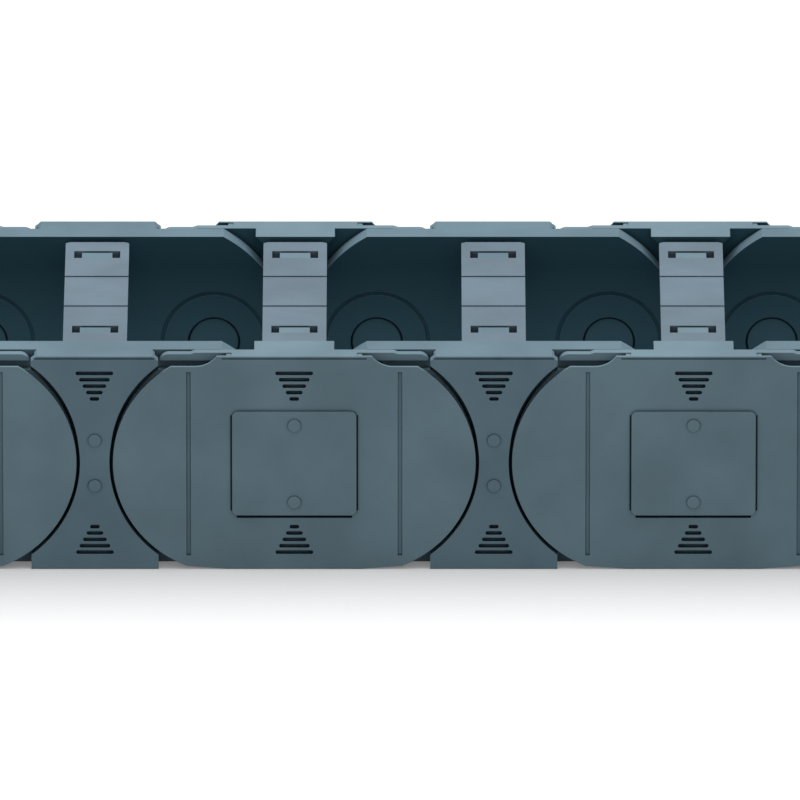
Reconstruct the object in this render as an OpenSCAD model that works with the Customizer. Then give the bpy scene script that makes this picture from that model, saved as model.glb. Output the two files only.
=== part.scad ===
// Cable drag chain: six links between a fixed and a moving end bracket.
// X runs along the chain, Y across it and Z up. The origin is on the floor,
// under the middle joint, halfway between the two rows of side plates.
// Narrow links (2, 4, 6) have an hourglass outside and a wide plate inside.
// Wide links (1, 3, 5) have round lobes outside and carry the pivot pins.

/* [Chain] */
// Height of every side plate
side_h = 103; // [96:0.5:106]
// Clear width between the side plates
inner_w = 141; // [100:1:200]
// From a narrow link's centre to each of its pivots
narrow_arm = 53.5; // [53:0.1:56]
// From a wide link's centre to each of its pivots
wide_arm = 37.5; // [37:0.1:40]
// Bend of one joint between its two stops, in degrees
max_bend = 21; // [12:0.5:22]

/* [Plate layers] */
// Thickness of a narrow link's inner plate with its running gap
inner_t = 11.5; // [9:0.5:14]
// Thickness of the middle layer, where the wide link's wings are
mid_t = 4.5; // [3.5:0.1:6]
// Thickness of the outermost layer, down to the lip's back
outer_t = 5; // [4:0.1:7]
// Thickness of the overhanging lip round a wide link's face
lip_t = 1.5; // [1:0.1:2]
// Gap between layers that slide past each other
run_gap = 0.3; // [0.3:0.05:0.5]

/* [Narrow link] */
// Half width of the hourglass at its top and bottom
waist_end = 29; // [26:0.5:30]
// Half width of the hourglass at the pivot height
waist_mid = 6.7; // [5.5:0.1:6.9]
// Radius of the hourglass's hollow sides
waist_r = 56; // [55.5:0.1:60]
// Radius of the inner plate's round ends
inner_end_r = 58.8; // [57.5:0.1:59]
// From the link's centre to the middle of that radius
inner_end_x = 29.5; // [28.5:0.1:29.7]

/* [Wide link] */
// Radius of the round lobes
lobe_r = 54.1; // [53:0.1:54.4]
// From the link's centre to the middle of the lobe radius
lobe_x = 28.6; // [28:0.1:28.8]
// Gap kept round a lobe through its whole turn
lobe_gap = 0.6; // [0.5:0.05:1]
// Where the face's top edge drops towards the lobe, from the centre
step_x = 45; // [42:0.5:48]
// Depth of that drop
step_d = 5; // [4:0.25:6]
// Radius of the curve at the drop
step_r = 12; // [9:0.5:13]
// Half length of the wings at the top of the middle layer
wing_x = 62; // [58:0.5:63]
// Radius of a wing's upper corner
wing_r = 5; // [3:0.5:8]

/* [Pivots] */
// Radius of the pin moulded on a wide link
pin_r = 12; // [10:0.5:14]
// Play between pin and bore, in radius
pin_play = 0.06; // [0.03:0.01:0.1]
// Inner radius of the stop lug
stop_r0 = 20; // [19:0.5:21]
// Outer radius of the stop lug
stop_r1 = 27; // [25:0.5:28]
// Height of the stop lug
stop_h = 4; // [3:0.25:5]
// Half angle of the stop lug
stop_half = 10; // [7:0.5:12]

/* [Face details] */
// Width of the raised pad on a wide link
pad_w = 56.6; // [40:0.2:60]
// Height of the raised pad
pad_h = 50.2; // [40:0.2:52]
// Height of the groove under the pad
groove_h = 1.6; // [1:0.1:2]
// How far pad and round marks stand out
raised = 1.2; // [0.6:0.1:1.6]
// Radius of the round marks
mark_r = 2.9; // [2:0.1:3.2]
// Height of the narrow link's marks above and below the pivots
mark_z_narrow = 11; // [8:0.5:14]
// Height of the wide link's marks above and below the pivots
mark_z_wide = 18.6; // [14:0.2:20]
// Width of the widest slot in each triangle
slot_w = 17.2; // [15:0.2:18]
// Width lost from one slot to the next
slot_drop = 3.2; // [2.8:0.1:3.4]
// Height of a slot
slot_h = 1.8; // [1.2:0.1:2]
// Pitch of the slots
slot_pitch = 3.1; // [2.8:0.1:3.2]
// Height of the widest slot above or below the pivots
slot_z = 43.4; // [42:0.2:44]
// Depth of the slots
slot_depth = 2; // [1:0.1:2.5]

/* [Crossbars] */
// Width of a crossbar
bar_w = 29.2; // [24:0.2:32]
// Thickness of a crossbar
bar_t = 4; // [3:0.25:5]
// How far the bars lie inside the plates' edges
bar_inset = 1.5; // [1:0.1:2.5]
// Gap between a bar's end and the side plate
bar_end_gap = 0.6; // [0.4:0.1:1]
// Length of a latch window, along the chain
window_w = 21.1; // [19:0.1:23]
// Width of a latch window, across the chain
window_l = 9.4; // [9:0.1:11]
// From a side plate to the middle of the window
window_y = 20; // [19:0.2:24]
// Width of the ledge and its latch tongue
ledge_w = 14; // [12:0.2:15]
// Thickness of the ledge
ledge_t = 3.5; // [3:0.25:4]
// Gap between a latch tongue and the window, across the chain
latch_gap = 1; // [0.9:0.1:1.4]
// Radius of a top bar's hinge knuckle
knuckle_r = 3; // [2.5:0.1:3.2]
// Play between the knuckle and its cradle, in radius
knuckle_play = 0.08; // [0.03:0.01:0.1]

/* [End brackets] */
// Length of the fixed bracket beyond its joint
fixed_reach = 128; // [124:1:150]
// Length of a foot along the chain
foot_l = 40; // [36:1:42]
// Thickness of the feet
foot_t = 8; // [5:0.5:10]
// Width of a foot, inwards from the side plate
foot_w = 40; // [34:1:45]
// Radius of the bolt holes
bolt_r = 4.5; // [2.5:0.25:5.5]
// Spacing of the bolt holes along the chain
bolt_dx = 20; // [18:1:24]
// Spacing of the bolt holes across the chain
bolt_dy = 101; // [80:1:110]
// Width of the brackets' tie bars
tie_w = 24; // [18:0.5:24]
// Thickness of the brackets' tie bars
tie_t = 6; // [4:0.5:7]
// How deep a tie bar sits in each arm
tie_socket = 4; // [3:0.5:5]

/* [Hidden] */
$fn = 96;
eps = 0.01;

zh = side_h / 2;               // half height of a plate
y_in = inner_w / 2;            // inner face of the side plates
y_mid = y_in + inner_t;        // inner face of the middle layer
y_lip = y_mid + mid_t;         // inner face of the outermost layer
y_out = y_lip + outer_t;       // outer face

// Joint k of the chain, counted from 0 at the fixed bracket. Joint 3 is at X = 0.
function joint_x(k) = (floor((k + 1) / 2) - 2) * 2 * wide_arm
                    + (floor(k / 2) - 1) * 2 * narrow_arm;
// Centre of link i, counted from 1.
function link_x(i) = (joint_x(i - 1) + joint_x(i)) / 2;
fixed_x = joint_x(0) - narrow_arm;             // centre of the fixed bracket's hourglass
moving_x = joint_x(6) + wide_arm;              // centre of the moving bracket's wide face
fixed_end = narrow_arm - fixed_reach;          // back edge of the fixed bracket
// The two brackets end at the same distance from the origin.
moving_end = fixed_reach - 2 * (narrow_arm - wide_arm) - wide_arm;

lobe_off = wide_arm - lobe_x;                  // from a pivot to the middle of its lobe
inner_off = narrow_arm - inner_end_x;          // from a pivot to the middle of the inner end
wing_h = zh - 0.7;                             // height of the wings' ends
wing_mid = [wing_x - wide_arm - wing_r, wing_h - wing_r];   // middle of a wing's corner, from the pivot
wing_sweep = norm(wing_mid) + wing_r + 0.8;                 // radius that a wing sweeps
// How near a wing comes to the middle of a narrow link, fully bent.
wing_reach = narrow_arm - wing_mid * [cos(max_bend), sin(max_bend)] - wing_r - 0.8;
inner_corner = sqrt(inner_end_r * inner_end_r - zh * zh) - inner_off;

fixed_foot = fixed_end + foot_l / 2;           // middle of a fixed foot
moving_foot = moving_end - foot_l / 2;         // middle of a moving foot
tie_fixed = fixed_end + foot_l + 1 + tie_w / 2;
tie_moving = moving_end - foot_l - 1 - tie_w / 2;

bar_z1 = zh - bar_inset;                       // outer face of the bars
bar_z0 = bar_z1 - bar_t;                       // inner face of the bars, on the ledges
knuckle_z = bar_z1 - knuckle_r;
knuckle_y = y_in - bar_end_gap - knuckle_r;
window_mid = y_in - window_y;

// A flat shape drawn in X and Z, thick from y0 to y1.
module slab(y0, y1) {
  translate([0, y1, 0]) rotate([90, 0, 0]) linear_extrude(y1 - y0) children();
}

// The same shape at +x and, mirrored, at -x.
module both_ends() {
  children();
  mirror([1, 0, 0]) children();
}

module band(x0, x1, z0, z1) {
  translate([x0, z0]) square([x1 - x0, z1 - z0]);
}

module rounded_rect(w, h, r) {
  square([w - 2 * r, h], center = true);
  square([w, h - 2 * r], center = true);
  for (sx = [-1, 1], sz = [-1, 1])
    translate([sx * (w / 2 - r), sz * (h / 2 - r)]) circle(r, $fn = 32);
}

// ---- Shapes of a narrow link, drawn for its +x half --------------------

// What the neighbour's lobe needs, straight, half bent and fully bent.
module lobe_room() {
  for (a = [0, max_bend / 2, max_bend])
    translate([narrow_arm, 0]) rotate(a) translate([lobe_off, 0])
      circle(lobe_r + lobe_gap, $fn = 192);
}

// What is cut from the hourglass on its +x side.
module waist_cut() {
  translate([waist_mid + waist_r, 0]) circle(waist_r, $fn = 192);
  lobe_room();
  polygon([[waist_end, zh - 2.2], [waist_end + 5, zh - 2.2], [waist_end + 5, zh + 5],
           [waist_end - 2.7, zh + 5], [waist_end - 2.7, zh]]);
}

// Room for the neighbour's wing as it swings in at the top.
module wing_room() {
  intersection() {
    translate([narrow_arm, 0]) circle(wing_sweep, $fn = 192);
    band(wing_reach, narrow_arm, zh - 23, zh + 1);
  }
  band(waist_end - 1.5, narrow_arm, -zh - 1, zh + 1);
}

module narrow_face() {
  difference() {
    band(-waist_end, waist_end, -zh, zh);
    waist_cut();
    mirror([1, 0]) waist_cut();
  }
}

module narrow_web() {
  difference() {
    narrow_face();
    wing_room();
    mirror([1, 0]) wing_room();
  }
}

// The inner plate's round end on the +x side.
module inner_end() {
  intersection() {
    translate([inner_end_x, 0]) circle(inner_end_r, $fn = 192);
    band(-1, inner_end_x + inner_end_r + 1, -zh, zh);
  }
}

module narrow_inner() {
  inner_end();
  mirror([1, 0]) inner_end();
  band(-inner_end_x, inner_end_x, -zh, zh);
}

// ---- Shapes of a wide link ---------------------------------------------

// One lobe with the drop in its top edge; shrink draws it smaller all round.
module lobe_half(shrink = 0) {
  difference() {
    intersection() {
      union() {
        translate([lobe_x, 0]) circle(lobe_r - shrink, $fn = 192);
        band(0, lobe_x, -zh, zh);
      }
      band(0, lobe_x + lobe_r, -zh, zh);
    }
    band(step_x - shrink, lobe_x + lobe_r, zh - step_d - shrink, zh + 1);
    translate([step_x - shrink, zh - step_d - shrink + step_r]) circle(step_r, $fn = 64);
    bottom_slope();
  }
}

// The bottom edge rises slightly towards its ends.
module bottom_slope() {
  polygon([[30, -zh], [64, -zh + 2.6], [64, -zh - 5], [30, -zh - 5]]);
}

module wide_face(shrink = 0) {
  lobe_half(shrink);
  mirror([1, 0]) lobe_half(shrink);
}

// The middle layer's +x half: the full lobe and the wing above it.
module wing_half() {
  difference() {
    union() {
      intersection() {
        translate([lobe_x, 0]) circle(lobe_r, $fn = 192);
        band(-1, lobe_x + lobe_r, -zh, zh);
      }
      band(0, lobe_x, -zh, zh);
      band(0, wing_x - wing_r, 0, wing_h);
      band(0, wing_x, 0, wing_h - wing_r);
      translate([wing_x - wing_r, wing_h - wing_r]) circle(wing_r, $fn = 48);
    }
    bottom_slope();
  }
}

module wide_mid() {
  wing_half();
  mirror([1, 0]) wing_half();
}

// What the neighbour's inner plate needs round a wide link's +x pivot.
module inner_room() {
  translate([wide_arm, 0]) {
    circle(norm([inner_corner, zh]) + 1, $fn = 192);
    for (a = [0, max_bend / 2, max_bend])
      rotate(a) translate([inner_off, 0]) circle(inner_end_r + 1, $fn = 192);
  }
}

// Key between two inner plates, which carries the ledge: clear of both sweeps.
module key_top() {
  difference() {
    band(-wide_arm, wide_arm, zh - 22, zh);
    inner_room();
    mirror([1, 0]) inner_room();
  }
}

// ---- Parts shared by the plates ----------------------------------------

// A sector between two angles and two radii.
module sector(r0, r1, a0, a1) {
  intersection() {
    difference() {
      circle(r1, $fn = 128);
      circle(r0, $fn = 128);
    }
    polygon([[0, 0], 2 * r1 * [cos(a0), sin(a0)], 2 * r1 * [cos(a1), sin(a1)]]);
  }
}

// Bore, stop pocket and inner ring groove round a narrow link's +x pivot.
module pivot_cuts() {
  translate([narrow_arm, 0, 0]) {
    slab(y_in - 1, y_mid + 1) circle(pin_r + pin_play, $fn = 128);
    slab(y_mid - run_gap - stop_h - 0.4, y_mid)
      sector(stop_r0 - 0.5, stop_r1 + 0.5, -90 - stop_half - 0.1, -90 + stop_half + max_bend + 0.1);
    slab(y_in - 1, y_in + 0.5) difference() {
      circle(stop_r1 - 2.5, $fn = 96);
      circle(stop_r1 - 4, $fn = 96);
    }
  }
}

// Pin and stop lug on a wide link's +x pivot.
module pivot_pin() {
  translate([wide_arm, 0, 0]) {
    slab(y_in + 1.5, y_mid + 1) circle(pin_r, $fn = 128);
    translate([0, y_in + 1.5, 0]) rotate([90, 0, 0]) cylinder(h = 1, r1 = pin_r, r2 = pin_r - 1, $fn = 128);
    slab(y_mid - stop_h, y_mid + 1) sector(stop_r0, stop_r1, -90 - stop_half, -90 + stop_half);
  }
}

// The ledge a bar lies on, with the latch tongue that shows in its window.
module ledge(cradle) {
  tongue = window_l / 2 - latch_gap;
  difference() {
    translate([-ledge_w / 2, window_mid - tongue, bar_z0 - ledge_t])
      cube([ledge_w, y_in + 1 - window_mid + tongue, ledge_t]);
    if (cradle)
      translate([-ledge_w, knuckle_y, knuckle_z]) rotate([0, 90, 0])
        cylinder(h = 2 * ledge_w, r = knuckle_r + knuckle_play, $fn = 64);
  }
  translate([-ledge_w / 2, window_mid - tongue, bar_z0 - eps])
    cube([ledge_w, 2 * tongue, bar_t - 0.5]);
}

// Two triangles of slots, one above and one below the pivots.
module slots() {
  for (s = [-1, 1], i = [0 : 4]) {
    w = slot_w - i * slot_drop;
    translate([0, 0, s * (slot_z - i * slot_pitch)]) slab(y_out - slot_depth, y_out + 1) {
      square([w - slot_h, slot_h], center = true);
      for (e = [-1, 1]) translate([e * (w - slot_h) / 2, 0]) circle(slot_h / 2, $fn = 24);
    }
  }
}

module marks(z, y) {
  for (s = [-1, 1]) translate([0, 0, s * z]) slab(y - 1, y + 0.8) circle(mark_r, $fn = 48);
}

// ---- Side plates, drawn for the +y side about the link's centre --------

module narrow_plate(cradle) {
  color([0.36, 0.43, 0.47]) difference() {
    union() {
      slab(y_in, y_mid - run_gap) narrow_inner();
      slab(y_mid - run_gap - eps, y_lip) narrow_web();
      slab(y_lip - eps, y_out) narrow_face();
      marks(mark_z_narrow, y_out);
      ledge(cradle);
      mirror([0, 0, 1]) ledge(false);
    }
    both_ends() pivot_cuts();
    slots();
    edge_line(waist_end + 1);
  }
}

// A fine groove along the top of the outer face.
module edge_line(half) {
  translate([-half, y_out - 0.5, zh - 1.4]) cube([2 * half, 2, 0.6]);
}

module wide_plate(cradle) {
  color([0.40, 0.47, 0.51]) {
    difference() {
      union() {
        slab(y_mid, y_lip - run_gap) wide_mid();
        slab(y_lip - run_gap - eps, y_out - lip_t) wide_face(3);
        slab(y_out - lip_t - eps, y_out) wide_face();
        slab(y_in, y_mid + eps) key_top();
        mirror([0, 0, 1]) slab(y_in, y_mid + eps) key_top();
        translate([0, y_out - 1, 0]) pad();
        marks(mark_z_wide, y_out + raised);
        both_ends() pivot_pin();
        ledge(cradle);
        mirror([0, 0, 1]) ledge(false);
      }
      slots();
      edge_line(step_x - step_r);
      pad_groove();
      both_ends() wing_groove();
      both_ends() face_groove();
    }
  }
}

module pad() {
  slab(0, raised + 1) rounded_rect(pad_w, pad_h, 2.5);
}

// A deep groove under the pad and a fine one beside it.
module pad_groove() {
  translate([-pad_w / 2 + 2, y_out - slot_depth, -pad_h / 2 - groove_h])
    cube([pad_w - 4, slot_depth + 2, groove_h]);
  for (s = [-1, 1])
    translate([s * (pad_w / 2 + 0.4) - 0.4, y_out - 0.8, -pad_h / 2 + 2])
      cube([0.8, 3, pad_h - 4]);
}

// Slot between the wing and the lobe's lip.
module wing_groove() {
  slab(y_lip - run_gap - 3, y_out - lip_t)
    band(step_x - step_r + 4, wing_x + 1, zh - step_d - 3, zh - step_d + 1.2);
}

// Upright groove on a lobe.
module face_groove() {
  translate([48.2 - 1, y_out - 0.7, -45]) cube([2, 2, 89]);
}

// ---- Crossbars ----------------------------------------------------------

// A bar about the link's centre, outer face up, reaching to y_far on the left.
module bar_body(y_far) {
  y_near = y_in - bar_end_gap;
  difference() {
    translate([0, (y_far - y_near) / 2, bar_z0]) linear_extrude(bar_t)
      rounded_rect(bar_w, y_far + y_near, 1.8);
    for (s = [-1, 1]) {
      translate([-window_w / 2, s * window_mid - window_l / 2, bar_z0 - 1])
        cube([window_w, window_l, bar_t + 2]);
      translate([-bar_w, s * 20 - 1.5, bar_z1 - 0.5]) cube([2 * bar_w, 3, 2]);
    }
  }
}

// A top bar ends in the knuckle it swings on, at the left plate.
module top_bar() {
  color([0.50, 0.57, 0.61]) {
    bar_body(knuckle_y);
    translate([-bar_w / 2 + 1.8, knuckle_y, knuckle_z]) rotate([0, 90, 0])
      cylinder(h = bar_w - 3.6, r = knuckle_r, $fn = 64);
  }
}

module bottom_bar() {
  color([0.50, 0.57, 0.61]) mirror([0, 0, 1]) bar_body(y_in - bar_end_gap);
}

// ---- End brackets ---------------------------------------------------------

// Sockets for the two tie bars in an arm, centred at x.
module tie_sockets(x) {
  for (s = [-1, 1])
    translate([x - tie_w / 2, y_in - 1, s * (bar_z1 - tie_t / 2) - tie_t / 2])
      cube([tie_w, tie_socket + 1, tie_t]);
}

// A foot with two bolt holes, its middle at x.
module foot(x) {
  difference() {
    translate([x - foot_l / 2, y_in - foot_w, -zh]) cube([foot_l, foot_w + 1, foot_t]);
    for (s = [-1, 1])
      translate([x + s * bolt_dx / 2, bolt_dy / 2, -zh - 1])
        cylinder(h = foot_t + 2, r = bolt_r, $fn = 48);
  }
}

module fixed_arm() {
  color([0.34, 0.41, 0.45]) {
    difference() {
      union() {
        slab(y_in, y_mid - run_gap) {
          inner_end();
          band(fixed_end, inner_end_x, -zh, zh);
        }
        slab(y_mid - run_gap - eps, y_lip) fixed_outline(true);
        slab(y_lip - eps, y_out) fixed_outline(false);
        foot(fixed_foot);
      }
      pivot_cuts();
      tie_sockets(tie_fixed);
    }
  }
}

// The fixed arm's outer layers: half an hourglass and a square back end.
module fixed_outline(with_wing) {
  difference() {
    band(fixed_end, waist_end, -zh, zh);
    waist_cut();
    if (with_wing) wing_room();
  }
}

module moving_arm() {
  color([0.34, 0.41, 0.45]) {
    difference() {
      union() {
        slab(y_mid, y_lip - run_gap) {
          mirror([1, 0]) wing_half();
          band(-1, moving_end, -zh, zh);
        }
        slab(y_lip - run_gap - eps, y_out - lip_t) {
          mirror([1, 0]) lobe_half(3);
          band(-1, moving_end, -zh, zh);
        }
        slab(y_out - lip_t - eps, y_out) {
          mirror([1, 0]) lobe_half();
          band(-1, moving_end, -zh, zh);
        }
        slab(y_in, y_mid + eps) moving_inner();
        mirror([1, 0, 0]) pivot_pin();
        foot(moving_foot);
      }
      tie_sockets(tie_moving);
      mirror([1, 0, 0]) wing_groove();
    }
  }
}

// The moving arm's inner layer, behind the sweep of the last narrow link.
module moving_inner() {
  difference() {
    band(-10, moving_end, -zh, zh);
    mirror([1, 0]) inner_room();
  }
}

module tie_bar(x, s) {
  color([0.50, 0.57, 0.61])
    translate([x - tie_w / 2, -y_in - tie_socket, s * (bar_z1 - tie_t / 2) - tie_t / 2])
      cube([tie_w, 2 * (y_in + tie_socket), tie_t]);
}

// ---- Placing --------------------------------------------------------------

module at(x) {
  translate([x, 0, zh]) children();
}

// A side plate of link i. Odd links are wide, even ones narrow.
module link_plate(i, left) {
  at(link_x(i)) mirror([0, left ? 0 : 1, 0]) {
    if (i % 2 == 1) wide_plate(left);
    else narrow_plate(left);
  }
}

module fixed_end_left_arm() { at(fixed_x) fixed_arm(); }
module fixed_end_right_arm() { at(fixed_x) mirror([0, 1, 0]) fixed_arm(); }
module fixed_end_top_tie() { at(fixed_x) tie_bar(tie_fixed, 1); }
module fixed_end_bottom_tie() { at(fixed_x) tie_bar(tie_fixed, -1); }

module link_1_left_plate() { link_plate(1, true); }
module link_1_right_plate() { link_plate(1, false); }
module link_1_top_bar() { at(link_x(1)) top_bar(); }
module link_1_bottom_bar() { at(link_x(1)) bottom_bar(); }

module link_2_left_plate() { link_plate(2, true); }
module link_2_right_plate() { link_plate(2, false); }
module link_2_top_bar() { at(link_x(2)) top_bar(); }
module link_2_bottom_bar() { at(link_x(2)) bottom_bar(); }

module link_3_left_plate() { link_plate(3, true); }
module link_3_right_plate() { link_plate(3, false); }
module link_3_top_bar() { at(link_x(3)) top_bar(); }
module link_3_bottom_bar() { at(link_x(3)) bottom_bar(); }

module link_4_left_plate() { link_plate(4, true); }
module link_4_right_plate() { link_plate(4, false); }
module link_4_top_bar() { at(link_x(4)) top_bar(); }
module link_4_bottom_bar() { at(link_x(4)) bottom_bar(); }

module link_5_left_plate() { link_plate(5, true); }
module link_5_right_plate() { link_plate(5, false); }
module link_5_top_bar() { at(link_x(5)) top_bar(); }
module link_5_bottom_bar() { at(link_x(5)) bottom_bar(); }

module link_6_left_plate() { link_plate(6, true); }
module link_6_right_plate() { link_plate(6, false); }
module link_6_top_bar() { at(link_x(6)) top_bar(); }
module link_6_bottom_bar() { at(link_x(6)) bottom_bar(); }

module moving_end_left_arm() { at(moving_x) moving_arm(); }
module moving_end_right_arm() { at(moving_x) mirror([0, 1, 0]) moving_arm(); }
module moving_end_top_tie() { at(moving_x) tie_bar(tie_moving, 1); }
module moving_end_bottom_tie() { at(moving_x) tie_bar(tie_moving, -1); }

fixed_end_left_arm();
fixed_end_right_arm();
fixed_end_top_tie();
fixed_end_bottom_tie();
link_1_left_plate();
link_1_right_plate();
link_1_top_bar();
link_1_bottom_bar();
link_2_left_plate();
link_2_right_plate();
link_2_top_bar();
link_2_bottom_bar();
link_3_left_plate();
link_3_right_plate();
link_3_top_bar();
link_3_bottom_bar();
link_4_left_plate();
link_4_right_plate();
link_4_top_bar();
link_4_bottom_bar();
link_5_left_plate();
link_5_right_plate();
link_5_top_bar();
link_5_bottom_bar();
link_6_left_plate();
link_6_right_plate();
link_6_top_bar();
link_6_bottom_bar();
moving_end_left_arm();
moving_end_right_arm();
moving_end_top_tie();
moving_end_bottom_tie();
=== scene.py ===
"""Cable drag chain: finishes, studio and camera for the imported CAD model.

The CAD nodes already hold every shape. This script gives each of them its
moulded plastic finish, then lights and frames the chain.
"""

from __future__ import annotations

import logging
import math
from dataclasses import dataclass
from enum import Enum

import bpy
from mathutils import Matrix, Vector


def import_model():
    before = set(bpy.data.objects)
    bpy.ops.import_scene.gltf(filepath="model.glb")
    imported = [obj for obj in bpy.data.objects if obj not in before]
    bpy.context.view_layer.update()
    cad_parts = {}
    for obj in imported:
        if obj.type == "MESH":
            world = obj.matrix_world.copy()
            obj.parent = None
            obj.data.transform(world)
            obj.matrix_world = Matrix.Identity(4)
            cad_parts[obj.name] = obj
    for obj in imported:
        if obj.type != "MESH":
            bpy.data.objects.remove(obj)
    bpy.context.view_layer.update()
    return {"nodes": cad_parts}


LOG = logging.getLogger("drag_chain")
Colour = tuple[float, float, float]
Span = tuple[float, float]
Socket = bpy.types.NodeSocket

UNIT: Span = (0.0, 1.0)
WHITE = (1.0, 1.0, 1.0, 1.0)

# Places of the colour sockets on a Mix node.
MIX_FIRST, MIX_SECOND, MIX_RESULT = 6, 7, 2

# Shares of a plastic's red, green and blue that are left where shade is painted on inner faces and in gaps.
INNER_TOP_SHADE_TINT: Colour = (0.16, 0.31, 0.35)
INNER_LOW_SHADE_TINT: Colour = (0.46, 0.68, 0.72)
GAP_SHADE_TINT: Colour = (0.04, 0.09, 0.12)


def srgb(red: int, green: int, blue: int) -> Colour:
    """Turns an 8-bit sRGB colour into the linear values that shaders take.

    Args:
        red: Red from 0 to 255.
        green: Green from 0 to 255.
        blue: Blue from 0 to 255.

    Returns:
        The linear colour.
    """

    def linear(level: int) -> float:
        part = level / 255
        return part / 12.92 if part <= 0.04045 else ((part + 0.055) / 1.055) ** 2.4

    return linear(red), linear(green), linear(blue)


class Role(Enum):
    """What a moulding does in the chain, which decides its finish."""

    NARROW_PLATE = "narrow_plate"
    WIDE_PLATE = "wide_plate"
    CROSSBAR = "crossbar"
    BRACKET = "bracket"


class ShaderGraph:
    """A material's node tree, with short calls to add and link nodes."""

    def __init__(self, name: str) -> None:
        """Makes an empty material.

        Args:
            name: The material's name.
        """
        self.material = bpy.data.materials.new(name)
        self.material.use_nodes = True
        self.tree = self.material.node_tree
        self.tree.nodes.clear()

    def node(self, kind: str, **settings: object) -> bpy.types.Node:
        """Adds a node.

        Args:
            kind: The node's type without the ShaderNode prefix.
            **settings: Properties to set on the node.

        Returns:
            The new node.
        """
        made = self.tree.nodes.new("ShaderNode" + kind)
        for key, value in settings.items():
            setattr(made, key, value)
        return made

    def link(self, source: Socket, target: Socket) -> None:
        """Joins two sockets.

        Args:
            source: The output socket.
            target: The input socket.
        """
        self.tree.links.new(source, target)

    def noise(self, scale: float, detail: float, place: Socket) -> Socket:
        """Adds a noise texture.

        Args:
            scale: Bumps per metre.
            detail: Number of finer layers.
            place: The position to read it at.

        Returns:
            The noise's value socket.
        """
        made = self.node("TexNoise")
        made.inputs["Scale"].default_value = scale
        made.inputs["Detail"].default_value = detail
        self.link(place, made.inputs["Vector"])
        return made.outputs["Fac"]

    def ranged(
        self, value: Socket, start: tuple[float, float], end: tuple[float, float]
    ) -> Socket:
        """Maps a value from one range to another and clamps it.

        Args:
            value: The value's socket.
            start: The range it comes from.
            end: The range it goes to.

        Returns:
            The mapped value's socket.
        """
        made = self.node("MapRange", clamp=True)
        for key, number in zip(("From Min", "From Max", "To Min", "To Max"), (*start, *end)):
            made.inputs[key].default_value = number
        self.link(value, made.inputs["Value"])
        return made.outputs["Result"]

    def mixed(
        self, amount: Socket, first: Colour | Socket, second: Colour | Socket
    ) -> Socket:
        """Mixes two colours.

        Args:
            amount: How much of the second colour, as a socket.
            first: A colour, or a socket that gives one.
            second: A colour, or a socket that gives one.

        Returns:
            The mixed colour's socket.
        """
        made = self.node("Mix", data_type="RGBA", blend_type="MIX")
        self.link(amount, made.inputs["Factor"])
        for socket, colour in ((made.inputs[MIX_FIRST], first), (made.inputs[MIX_SECOND], second)):
            if isinstance(colour, Socket):
                self.link(colour, socket)
            else:
                socket.default_value = (*colour, 1.0)
        return made.outputs[MIX_RESULT]

    def split(self, vector: Socket) -> bpy.types.Node:
        """Splits a vector into its parts.

        Args:
            vector: The vector's socket.

        Returns:
            A node with the outputs X, Y and Z.
        """
        made = self.node("SeparateXYZ")
        self.link(vector, made.inputs["Vector"])
        return made

    def product(self, first: Socket, second: Socket) -> Socket:
        """Multiplies two values.

        Args:
            first: The first value's socket.
            second: The second value's socket.

        Returns:
            The product's socket.
        """
        made = self.node("Math", operation="MULTIPLY")
        self.link(first, made.inputs[0])
        self.link(second, made.inputs[1])
        return made.outputs["Value"]


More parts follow.
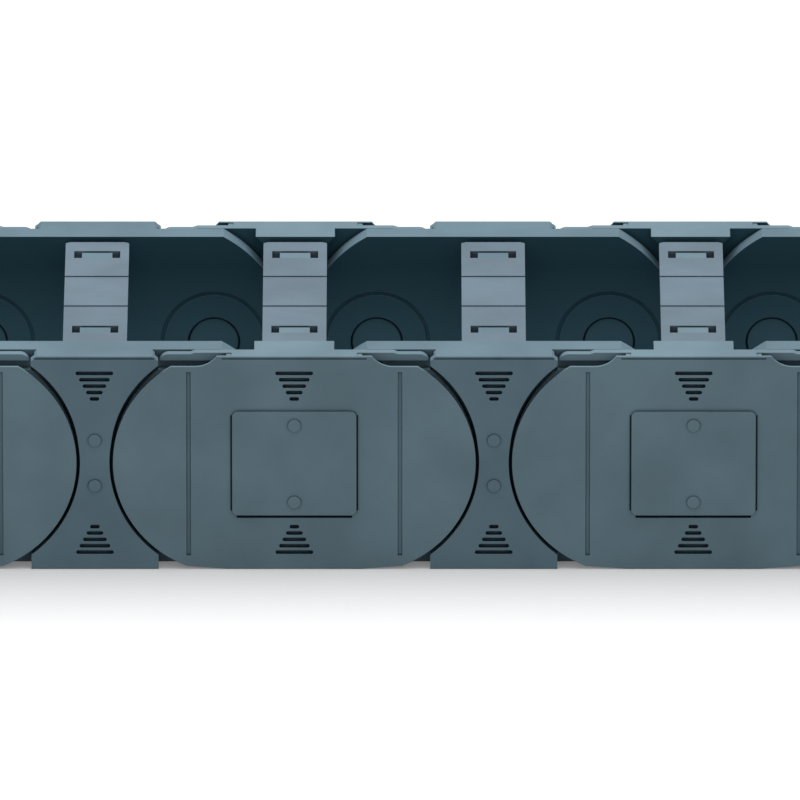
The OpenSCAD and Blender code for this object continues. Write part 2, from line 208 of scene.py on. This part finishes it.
@dataclass(frozen=True)
class MouldedPlastic:
    """Glass-filled nylon with a fine eroded grain, paler edges that are partly rub wear and partly painted
    highlight, and painted shade on inner faces and in gaps.

    Lengths are in metres, and a texture's size is given in bumps per metre. All nodes share
    one frame, so a node's object coordinate is its place on the chain.
    """

    name: str
    colour: Colour
    roughness: float = 0.56
    roughness_spread: Span = (-0.06, 0.07)
    polish_per_m: float = 90.0
    polish_span: Span = (0.3, 0.7)
    ior: float = 1.46
    specular_level: float = 0.2
    grain_per_m: float = 2600.0
    grain_depth_m: float = 0.000035
    grain_strength: float = 0.55
    speckle_span: Span = (0.35, 0.7)
    speckle_share: float = 0.10
    speckle_gain: float = 1.5
    cloud: float = 0.10
    cloud_per_m: float = 26.0
    cloud_span: Span = (0.35, 0.65)
    edge_radius_m: float = 0.0005
    edge_samples: int = 6
    # Paler edges, partly rub wear and partly a painted highlight: which edges count, how much paler, and
    # how patchy.
    edge_facing: Span = (0.995, 0.90)
    edge_lift: float = 0.22
    edge_share: float = 0.45
    wear_and_highlight_per_m: float = 160.0
    wear_and_highlight_span: Span = (0.38, 0.62)
    wear_and_highlight_least: float = 0.25
    # Painted shade on the inner faces: its strength, which faces count as inward, and the heights it fades
    # over.
    inner_shade: float = 0.0
    inward_m: Span = (-0.03, -0.06)
    inner_heights_m: Span = (0.055, 0.088)
    # Painted shade in gaps: ambient occlusion within this reach darkens slots, windows and seams.
    gap_reach_m: float = 0.004
    gap_samples: int = 6
    gap_openness: Span = (0.8, 0.45)
    gap_shade: float = 0.9
    floor_clear_m: Span = (0.004, 0.006)

    def build(self) -> bpy.types.Material:
        """Builds the material.

        Returns:
            The material, ready to assign.
        """
        graph = ShaderGraph(self.name)
        place = graph.node("TexCoord").outputs["Object"]
        fine = graph.noise(self.grain_per_m, 3.0, place)
        soft_edge = graph.node("Bevel", samples=self.edge_samples)
        soft_edge.inputs["Radius"].default_value = self.edge_radius_m
        bump = graph.node("Bump")
        bump.inputs["Strength"].default_value = self.grain_strength
        bump.inputs["Distance"].default_value = self.grain_depth_m
        graph.link(fine, bump.inputs["Height"])
        graph.link(soft_edge.outputs["Normal"], bump.inputs["Normal"])

        shader = graph.node("BsdfPrincipled")
        shader.inputs["IOR"].default_value = self.ior
        shader.inputs["Specular IOR Level"].default_value = self.specular_level
        graph.link(self._colour(graph, place, fine, soft_edge), shader.inputs["Base Color"])
        smooth, rough = (self.roughness + change for change in self.roughness_spread)
        polish = graph.ranged(graph.noise(self.polish_per_m, 4.0, place), self.polish_span, (smooth, rough))
        graph.link(polish, shader.inputs["Roughness"])
        graph.link(bump.outputs["Normal"], shader.inputs["Normal"])
        output = graph.node("OutputMaterial")
        graph.link(shader.outputs["BSDF"], output.inputs["Surface"])
        return graph.material

    def _colour(
        self, graph: ShaderGraph, place: Socket, fine: Socket, soft_edge: bpy.types.Node
    ) -> Socket:
        """Adds the colour: flow clouds, speckle, paler edges that are partly rub wear and partly painted
        highlight, and painted shade on inner faces and in gaps.

        Args:
            graph: The material's graph.
            place: The position on the chain.
            fine: The grain's value.
            soft_edge: The node that rounds the normals at edges.

        Returns:
            The colour's socket.
        """
        darker = self._tinted((1 - self.cloud,) * 3)
        lighter = self._tinted((1 + self.cloud,) * 3)
        clouds = graph.ranged(graph.noise(self.cloud_per_m, 5.0, place), self.cloud_span, UNIT)
        body = graph.mixed(clouds, darker, lighter)
        speckle = graph.ranged(fine, self.speckle_span, (0.0, self.speckle_share))
        body = graph.mixed(speckle, body, self._tinted((self.speckle_gain,) * 3))

        # Paler edges, partly rub wear and partly a painted highlight where edges catch the light, patchy
        # along their length.
        flat = graph.node("NewGeometry").outputs["Normal"]
        facing = graph.node("VectorMath", operation="DOT_PRODUCT")
        graph.link(soft_edge.outputs["Normal"], facing.inputs[0])
        graph.link(flat, facing.inputs[1])
        edge = graph.ranged(facing.outputs["Value"], self.edge_facing, UNIT)
        patchy = graph.ranged(
            graph.noise(self.wear_and_highlight_per_m, 3.0, place), self.wear_and_highlight_span, (self.wear_and_highlight_least, 1.0)
        )
        rubbed_and_highlit = tuple(min(1.0, part + self.edge_lift * (0.5 + part)) for part in self.colour)
        share = graph.ranged(graph.product(edge, patchy), UNIT, (0.0, self.edge_share))
        # Painted shade on the faces inside the channel.
        sides = self._paint_inner_shade(graph, place, flat, graph.mixed(share, body, rubbed_and_highlit))
        # Painted shade in slots, windows and seams.
        return self._paint_gap_shade(graph, place, sides)

    def _paint_inner_shade(self, graph: ShaderGraph, place: Socket, flat: Socket, outside: Socket) -> Socket:
        """Paints shade on the faces that look into the channel, darkest near their tops.

        Args:
            graph: The material's graph.
            place: The position on the chain.
            flat: The face's own normal.
            outside: The colour everywhere else.

        Returns:
            The colour's socket.
        """
        # Painted shade: inward-facing faces get a darker colour, most of all near their tops.
        where = graph.split(place)
        inward = graph.product(where.outputs["Y"], graph.split(flat).outputs["Y"])
        share = graph.ranged(inward, self.inward_m, (0.0, self.inner_shade))
        height = graph.ranged(where.outputs["Z"], self.inner_heights_m, UNIT)
        deep = graph.mixed(height, self._tinted(INNER_LOW_SHADE_TINT), self._tinted(INNER_TOP_SHADE_TINT))
        return graph.mixed(share, outside, deep)

    def _paint_gap_shade(self, graph: ShaderGraph, place: Socket, body: Socket) -> Socket:
        """Paints shade into slots, windows and seams between plates, but not on the edge at the floor.

        Args:
            graph: The material's graph.
            place: The position on the chain.
            body: The colour on open faces.

        Returns:
            The colour's socket.
        """
        # Painted shade: where ambient occlusion finds nearby surfaces, the colour turns dark.
        opened = graph.node("AmbientOcclusion", samples=self.gap_samples)
        opened.inputs["Distance"].default_value = self.gap_reach_m
        closed = graph.ranged(opened.outputs["AO"], self.gap_openness, (0.0, self.gap_shade))
        clear = graph.ranged(graph.split(place).outputs["Z"], self.floor_clear_m, UNIT)
        return graph.mixed(graph.product(closed, clear), body, self._tinted(GAP_SHADE_TINT))

    def _tinted(self, tint: Colour) -> Colour:
        """Multiplies the plastic's colour by a tint.

        Args:
            tint: What to multiply red, green and blue by.

        Returns:
            The tinted colour.
        """
        return tuple(part * level for part, level in zip(self.colour, tint))


@dataclass
class Mouldings:
    """All mouldings of one role, which share a finish."""

    role: Role
    finish: MouldedPlastic
    nodes: list[bpy.types.Object]

    def dress(self) -> None:
        """Gives every moulding the finish and reports how many there are."""
        material = self.finish.build()
        for node in self.nodes:
            node.data.materials.clear()
            node.data.materials.append(material)
        LOG.info("%s: %d pieces", self.role.value, len(self.nodes))


@dataclass
class DragChain:
    """The whole chain, sorted into plates, crossbars and brackets."""

    nodes: dict[str, bpy.types.Object]
    narrow_colour: Colour = srgb(108, 134, 147)
    wide_colour: Colour = srgb(117, 143, 155)
    bar_colour: Colour = srgb(112, 131, 145)
    bracket_colour: Colour = srgb(106, 131, 143)

    def role_of(self, name: str) -> Role:
        """Tells what a node is from its name.

        Args:
            name: The CAD node's name.

        Returns:
            Its role. Links with an odd number are the wide ones.
        """
        if name.endswith(("_bar", "_tie")):
            return Role.CROSSBAR
        if name.endswith("_arm"):
            return Role.BRACKET
        number = int(name.split("_")[1])
        return Role.WIDE_PLATE if number % 2 else Role.NARROW_PLATE

    def dress(self) -> None:
        """Dresses every node in the finish of its role."""
        # Plates and brackets get painted shade on their inner faces.
        finishes = {
            Role.NARROW_PLATE: MouldedPlastic("narrow_plate_nylon", self.narrow_colour, inner_shade=1.0),
            Role.WIDE_PLATE: MouldedPlastic("wide_plate_nylon", self.wide_colour, inner_shade=1.0),
            Role.CROSSBAR: MouldedPlastic("crossbar_nylon", self.bar_colour, roughness=0.48),
            Role.BRACKET: MouldedPlastic(
                "bracket_nylon", self.bracket_colour, roughness=0.6, inner_shade=1.0
            ),
        }
        for role, finish in finishes.items():
            members = [self.nodes[name] for name in sorted(self.nodes) if self.role_of(name) is role]
            Mouldings(role, finish, members).dress()


@dataclass
class Studio:
    """A pale floor under a wide soft light from above and behind."""

    floor_half_m: float = 9.0
    floor_gap_m: float = 0.0002
    floor_level: float = 0.98
    floor_bounce: float = 0.5
    floor_glow: float = 0.15
    paper_roughness: float = 0.9
    paper_specular: float = 0.1
    fibre_per_m: float = 400.0
    fibre_span: Span = (0.3, 0.7)
    fibre_dip: float = 0.01
    key_size_m: float = 3.0
    key_height_m: float = 2.6
    key_back_m: float = 0.6
    key_watts: float = 59.0
    world_level: float = 0.46

    def build(self) -> None:
        """Makes the floor, the light and the surrounding glow."""
        self._floor()
        self._key()
        self._world()

    def _floor(self) -> None:
        """Makes the floor: white to the camera, a little greyer to the chain."""
        half = self.floor_half_m
        mesh = bpy.data.meshes.new("floor")
        mesh.from_pydata(
            [(-half, -half, 0), (half, -half, 0), (half, half, 0), (-half, half, 0)], [], [(0, 1, 2, 3)]
        )
        floor = bpy.data.objects.new("floor", mesh)
        floor.location.z = -self.floor_gap_m
        bpy.context.scene.collection.objects.link(floor)

        graph = ShaderGraph("floor_paper")
        place = graph.node("TexCoord").outputs["Object"]
        seen = graph.node("LightPath").outputs["Is Camera Ray"]
        fibre = graph.ranged(graph.noise(self.fibre_per_m, 3.0, place), self.fibre_span, UNIT)
        paper = graph.mixed(fibre, (self.floor_level - self.fibre_dip,) * 3, (self.floor_level,) * 3)
        colour = graph.mixed(seen, (self.floor_bounce,) * 3, paper)
        shader = graph.node("BsdfPrincipled")
        shader.inputs["Roughness"].default_value = self.paper_roughness
        shader.inputs["Specular IOR Level"].default_value = self.paper_specular
        graph.link(colour, shader.inputs["Base Color"])
        shader.inputs["Emission Color"].default_value = WHITE
        glow = graph.ranged(seen, UNIT, (0.0, self.floor_glow))
        graph.link(glow, shader.inputs["Emission Strength"])
        output = graph.node("OutputMaterial")
        graph.link(shader.outputs["BSDF"], output.inputs["Surface"])
        mesh.materials.append(graph.material)

    def _key(self) -> None:
        """Hangs the soft light over the chain, facing down and slightly forward."""
        light = bpy.data.lights.new("softbox", "AREA")
        light.shape = "SQUARE"
        light.size = self.key_size_m
        light.energy = self.key_watts
        lamp = bpy.data.objects.new("softbox", light)
        lamp.location = (0.0, self.key_back_m, self.key_height_m)
        lamp.rotation_euler = (-math.atan2(self.key_back_m, self.key_height_m), 0.0, 0.0)
        bpy.context.scene.collection.objects.link(lamp)

    def _world(self) -> None:
        """Fills the scene with a dim even glow that the camera sees as white."""
        world = bpy.data.worlds.new("studio")
        world.use_nodes = True
        tree = world.node_tree
        tree.nodes.clear()
        glow = tree.nodes.new("ShaderNodeBackground")
        glow.inputs["Strength"].default_value = self.world_level
        white = tree.nodes.new("ShaderNodeBackground")
        white.inputs["Strength"].default_value = 1.0
        for background in (glow, white):
            background.inputs["Color"].default_value = WHITE
        path = tree.nodes.new("ShaderNodeLightPath")
        either = tree.nodes.new("ShaderNodeMixShader")
        output = tree.nodes.new("ShaderNodeOutputWorld")
        tree.links.new(path.outputs["Is Camera Ray"], either.inputs["Fac"])
        tree.links.new(glow.outputs["Background"], either.inputs[1])
        tree.links.new(white.outputs["Background"], either.inputs[2])
        tree.links.new(either.outputs["Shader"], output.inputs["Surface"])
        bpy.context.scene.world = world


@dataclass
class LongLens:
    """A far camera with a long lens, raised above the chain's near side.

    A view from another side keeps this lens, stands back until the whole chain fits and clips
    at 100 times the chain's radius. Much beyond 17 m, the lens is so long that the chain would
    lie past that and vanish from every such view.
    """

    elevation_deg: float = 20.0
    frame_width_m: float = 0.367
    centre_x_m: float = 0.0107
    aim_height_m: float = 0.0487
    distance_m: float = 14.0
    sensor_mm: float = 36.0
    clip_distances: float = 4.0

    def build(self) -> None:
        """Makes the camera and gives it to the scene."""
        lens = bpy.data.cameras.new("camera")
        lens.sensor_width = self.sensor_mm
        lens.lens = self.sensor_mm * self.distance_m / self.frame_width_m
        lens.clip_end = self.clip_distances * self.distance_m
        camera = bpy.data.objects.new("camera", lens)
        tilt = math.radians(self.elevation_deg)
        aim = Vector((self.centre_x_m, 0.0, self.aim_height_m))
        camera.location = aim + self.distance_m * Vector((0.0, -math.cos(tilt), math.sin(tilt)))
        camera.rotation_euler = (math.pi / 2 - tilt, 0.0, 0.0)
        bpy.context.scene.collection.objects.link(camera)
        bpy.context.scene.camera = camera


def main() -> None:
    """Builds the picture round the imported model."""
    logging.basicConfig(level=logging.INFO, format="%(name)s: %(message)s")
    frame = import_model()
    scene = bpy.context.scene
    scene.view_settings.view_transform = "Standard"
    LongLens().build()
    DragChain(frame["nodes"]).dress()
    Studio().build()
    LOG.info("%d nodes dressed", len(frame["nodes"]))


if __name__ == "__main__":
    main()
